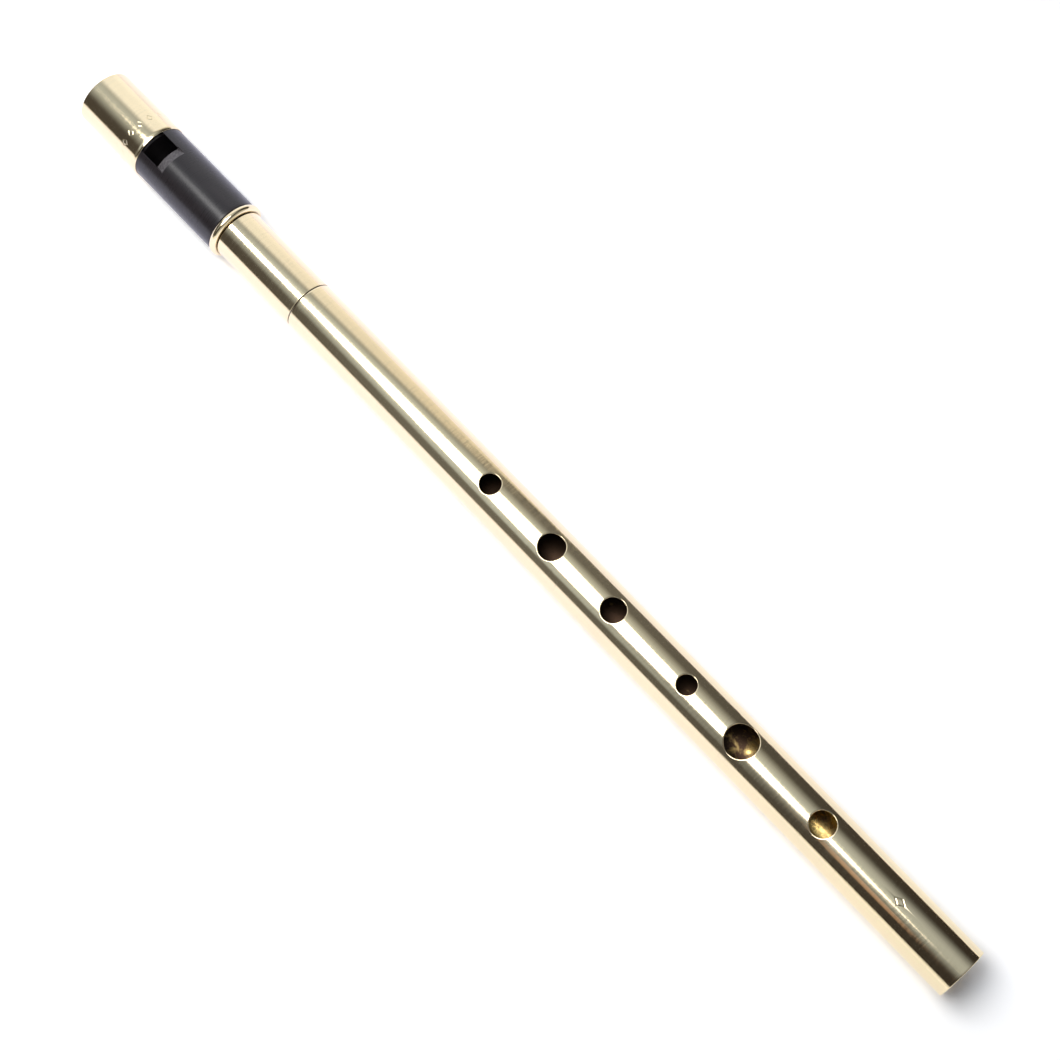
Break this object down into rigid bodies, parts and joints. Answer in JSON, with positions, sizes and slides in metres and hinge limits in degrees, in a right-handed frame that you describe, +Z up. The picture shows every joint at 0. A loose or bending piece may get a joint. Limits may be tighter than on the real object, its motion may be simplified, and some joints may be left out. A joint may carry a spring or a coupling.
{
  "type": "tin whistle",
  "caption": "Tunable brass tin whistle: finger-holed tube, short slide tube, and a turning black head with windway, window and bead ring.",
  "frame": {"origin": "bottom centre of the whole whistle, lying with its finger holes up", "axes": "+X along the tube from the mouth to the foot, +Z up through the finger holes, +Y completes the right-handed frame"},
  "size_m": [0.3326, 0.0178, 0.0177],
  "materials": {
    "polished_brass": "hand polished, fine lengthwise and round scratches, unlacquered",
    "drawn_brass": "as drawn, dull, wiped with slide grease",
    "black_acetal": "turned satin black"
  },
  "bodies": {
    "body": {"body_tube": "polished_brass"},
    "slide": {"tuning_slide": "drawn_brass"},
    "head": {"mouthpiece_sleeve": "polished_brass", "head_shell": "black_acetal", "fipple_plug": "black_acetal", "head_ring": "polished_brass", "head_tube": "polished_brass"}
  },
  "joints": [
    {"name": "tuning", "type": "slide", "parent": "body", "child": "slide", "axis": [-1, 0, 0], "range_m": [0, 0.012]},
    {"name": "head_turn", "type": "hinge", "parent": "slide", "child": "head", "pos_m": [-0.07715, 0, 0.00887], "axis": [1, 0, 0], "continuous": true}
  ]
}
